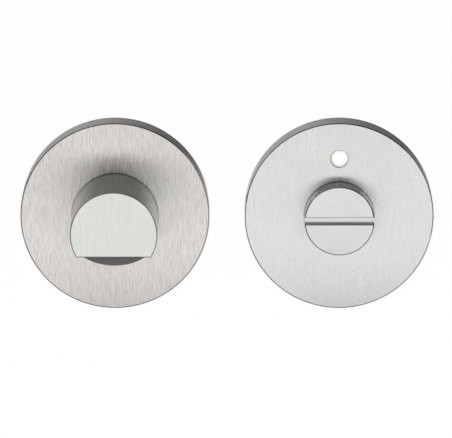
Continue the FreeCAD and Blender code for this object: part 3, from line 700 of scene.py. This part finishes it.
bolt = {"reach": 19.0, "shank": 2.0, "core": 1.64, "crest": 1.98, "end": 36.0, "endEdge": 0.25,
        "threadStart": 1.2, "runOut": 0.5, "lead": 0.14, "neck": (2.3, 3.2), "head": (3.8, 5.4),
        "headEdge": 0.6, "headBend": 0.3, "taper": (1.3, 2.4, 1.1), "recess": (4.0, 0.9, 1.3)}


def makeBolts():
    neck, neckTop = bolt["neck"]
    head, headTop = bolt["head"]
    edge = bolt["headEdge"]
    bend = edge * bolt["headBend"]
    core = bolt["core"]
    end = -bolt["end"]
    threadStart = -bolt["threadStart"]
    single = turnOnLathe("throughBolts", [
        (0, end), (core - bolt["endEdge"], end), (core, end + bolt["endEdge"]),
        (core, threadStart - bolt["runOut"]), (bolt["shank"], threadStart), (bolt["shank"], 0), (neck, 0),
        (neck, neckTop), (head, neckTop), (head, headTop - edge), (head - bend, headTop - bend),
        (head - edge, headTop), (0, headTop),
    ], thread["roundSteps"])
    turns = int((bolt["end"] - bolt["threadStart"]) / thread["pitch"])
    ridgeStart = bolt["threadStart"] - bolt["lead"]
    ridge = windRidge("boltThread", core - thread["sunk"], bolt["crest"], ridgeStart, turns)
    tip, rim, length = bolt["taper"]
    cutAway(ridge, turnOnLathe("taperCutter", [
        (tip, end - nearly), (rim, end + length), (rim, end - clear), (tip, end - clear),
    ], thread["roundSteps"]))
    combine(single, ridge, "UNION")
    width, arm, depth = bolt["recess"]
    ahead = (headTop + clear, headTop - depth)
    for across, up in ((width / 2, arm / 2), (arm / 2, width / 2)):
        cutAway(single, drawBox("recessCutter", (-across, across), (-up, up), ahead))
    return makePair(single, 0.0, bolt["reach"])


handOver(makeBolts(), "through_bolts", finishes["plated_steel"])

sleeve = {"radius": 3.0, "bore": 2.05, "end": 12.0, "seat": 2.0, "headTop": 4.0, "head": 7.6,
          "edge": 0.25, "steps": 64, "overlap": 1.0, "boreCut": 6.0, "thread": (2.12, 1.72),
          "threadIn": 0.3, "threadShort": 1.2}


def makeSleeveHead():
    seat = sleeve["seat"]
    top = sleeve["headTop"]
    corner = sleeve["head"] / 2 / math.cos(math.pi / 6)
    clearSelection()
    bpy.ops.mesh.primitive_cylinder_add(
        vertices=6, radius=corner * mm, depth=(top - seat) * mm,
        location=(0, -(seat + top) / 2 * mm, 0), rotation=(math.pi / 2, 0, 0))
    head = bpy.context.object
    pickUp(head)
    bpy.ops.object.transform_apply(location=True, rotation=True, scale=True)
    bore = sleeve["bore"]
    deep = sleeve["boreCut"]
    profile = [(0, 0), (bore, 0), (bore, deep), (0, deep)]
    cutAway(head, turnOnLathe("headBoreCutter", profile, sleeve["steps"]))
    return head


def makeSleeves():
    edge = sleeve["edge"]
    radius = sleeve["radius"]
    bore = sleeve["bore"]
    end = -sleeve["end"]
    inHead = sleeve["seat"] + sleeve["overlap"]
    single = turnOnLathe("sleeveNuts", [
        (bore + edge, end), (radius - edge, end), (radius, end + edge), (radius, inHead), (bore, inHead),
        (bore, end + edge),
    ], sleeve["steps"])
    combine(single, makeSleeveHead(), "UNION")
    root, crest = sleeve["thread"]
    turns = int((sleeve["end"] + sleeve["seat"] - sleeve["threadShort"]) / thread["pitch"])
    ridge = windRidge("sleeveThread", root, crest, -sleeve["seat"] + sleeve["threadIn"], turns)
    combine(single, ridge, "UNION")
    return makePair(single, releaseX, bolt["reach"])


handOver(makeSleeves(), "sleeve_nuts", finishes["plated_steel"])
print("bolts and sleeves made")


# Studio: a pale floor and backdrop, lamps, and grey cards for the steel to reflect

studio = {"middle": 0.03, "floorLevel": -0.35, "floorSize": 12.0, "floorColor": (0.8, 0.8, 0.8),
          "floorGlow": 0.33, "worldDiffuse": 1.0, "keyPower": 11.0, "fillPower": 1.5, "cardFade": 0.25}


# One for what the camera, mirrors and glass see, and nothing for what only lights the rest
def addSeen(tree):
    rays = tree.nodes.new("ShaderNodeLightPath")
    seen = addMath(tree, "MAXIMUM", rays.outputs["Is Camera Ray"], rays.outputs["Is Glossy Ray"])
    return addMath(tree, "MAXIMUM", seen, rays.outputs["Is Transmission Ray"])


def makeFloorMaterial():
    material, tree, both = startMaterial("paleFloor", "ShaderNodeAddShader")
    diffuse = tree.nodes.new("ShaderNodeBsdfDiffuse")
    diffuse.inputs["Color"].default_value = (*studio["floorColor"], 1)
    emission = tree.nodes.new("ShaderNodeEmission")
    glow = addMath(tree, "MULTIPLY", addSeen(tree), studio["floorGlow"])
    tree.links.new(glow, emission.inputs["Strength"])
    tree.links.new(diffuse.outputs["BSDF"], both.inputs[0])
    tree.links.new(emission.outputs["Emission"], both.inputs[1])
    return material


clearSelection()
floorPlace = (studio["middle"], 0, studio["floorLevel"])
bpy.ops.mesh.primitive_plane_add(size=studio["floorSize"], location=floorPlace)
floor = bpy.context.object
floor.name = "paleFloor"
floor.data.materials.append(makeFloorMaterial())


# A card that only reflections see, with its glow fading from one side to the other
def makeCard(name, centre, size, turn, glow):
    clearSelection()
    angles = [math.radians(angle) for angle in turn]
    bpy.ops.mesh.primitive_plane_add(size=1, location=centre, rotation=angles)
    card = bpy.context.object
    card.name = name
    card.scale = (*size, 1)
    material, tree, emission = startMaterial(name, "ShaderNodeEmission")
    place = tree.nodes.new("ShaderNodeTexCoord")
    sides = tree.nodes.new("ShaderNodeSeparateXYZ")
    tree.links.new(place.outputs["Object"], sides.inputs["Vector"])
    fade = studio["cardFade"] / size[0]
    tree.links.new(addRange(tree, sides.outputs["X"], -fade, fade, *glow), emission.inputs["Strength"])
    card.data.materials.append(material)
    card.visible_camera = False
    card.visible_diffuse = False
    card.visible_shadow = False
    card.visible_transmission = False


lying = (0, 0, 0)
upright = (90, 0, 0)
sideways = (90, 0, 90)
makeCard("cardAbove", (0.035, 0.0, 0.45), (1.17, 0.4), lying, (0.2, 0.04))
makeCard("cardLeft", (-0.55, 0.04, 0.1), (0.32, 0.7), sideways, (0.03, 0.03))
makeCard("cardRight", (0.62, 0.04, 0.1), (0.32, 0.7), sideways, (0.05, 0.05))
makeCard("cardBelow", (0.03, 0.055, -0.1), (0.5, 0.17), lying, (0.13, 0.2))
makeCard("cardBelowAhead", (0.03, -0.18, -0.1), (0.8, 0.3), lying, (0.66, 0.66))
makeCard("cardAheadAbove", (0.03, -1.0, 0.6), (2.4, 1.1), upright, (0.24, 0.18))
makeCard("cardBehind", (0.03, 1.0, 0.2), (2.4, 0.6), upright, (0.5, 0.1))
makeCard("cardBehindAbove", (0.03, 0.7, 0.62), (2.4, 1.0), lying, (0.5, 0.25))

world = bpy.data.worlds.new("studioWorld")
bpy.context.scene.world = world
world.use_nodes = True
worldTree = world.node_tree
worldTree.nodes.clear()
worldOutput = worldTree.nodes.new("ShaderNodeOutputWorld")
background = worldTree.nodes.new("ShaderNodeBackground")
worldLevel = addRange(worldTree, addSeen(worldTree), 0, 1, studio["worldDiffuse"], 1.0)
worldTree.links.new(worldLevel, background.inputs["Strength"])
worldTree.links.new(background.outputs["Background"], worldOutput.inputs["Surface"])


def addLamp(name, place, size, power):
    clearSelection()
    bpy.ops.object.light_add(type="AREA", location=place)
    lamp = bpy.context.object
    lamp.name = name
    lamp.data.size = size
    lamp.data.energy = power
    lamp.visible_glossy = False
    toObject = Vector((studio["middle"], 0, 0)) - Vector(place)
    lamp.rotation_euler = toObject.to_track_quat("-Z", "Y").to_euler()


addLamp("keyLamp", (-0.25, -1.4, 0.22), 0.7, studio["keyPower"])
addLamp("fillLamp", (0.75, -0.8, 0.3), 0.9, studio["fillPower"])

view = {"aim": (30.56, -9.0, -0.73), "distance": 2000.0, "elevation": 12.0, "pixelsPerMm": 3.635,
        "width": 452, "sensor": 36.0, "clipEnd": 100.0}
lean = math.radians(view["elevation"])
away = Vector((0, -math.cos(lean), math.sin(lean))) * view["distance"]
clearSelection()
bpy.ops.object.camera_add(location=(Vector(view["aim"]) + away) * mm, rotation=(math.pi / 2 - lean, 0, 0))
camera = bpy.context.object
camera.data.sensor_width = view["sensor"]
camera.data.lens = view["sensor"] * view["distance"] * view["pixelsPerMm"] / view["width"]
camera.data.clip_end = view["clipEnd"]
bpy.context.scene.camera = camera
bpy.context.scene.view_settings.view_transform = "Standard"
print("studio set up")
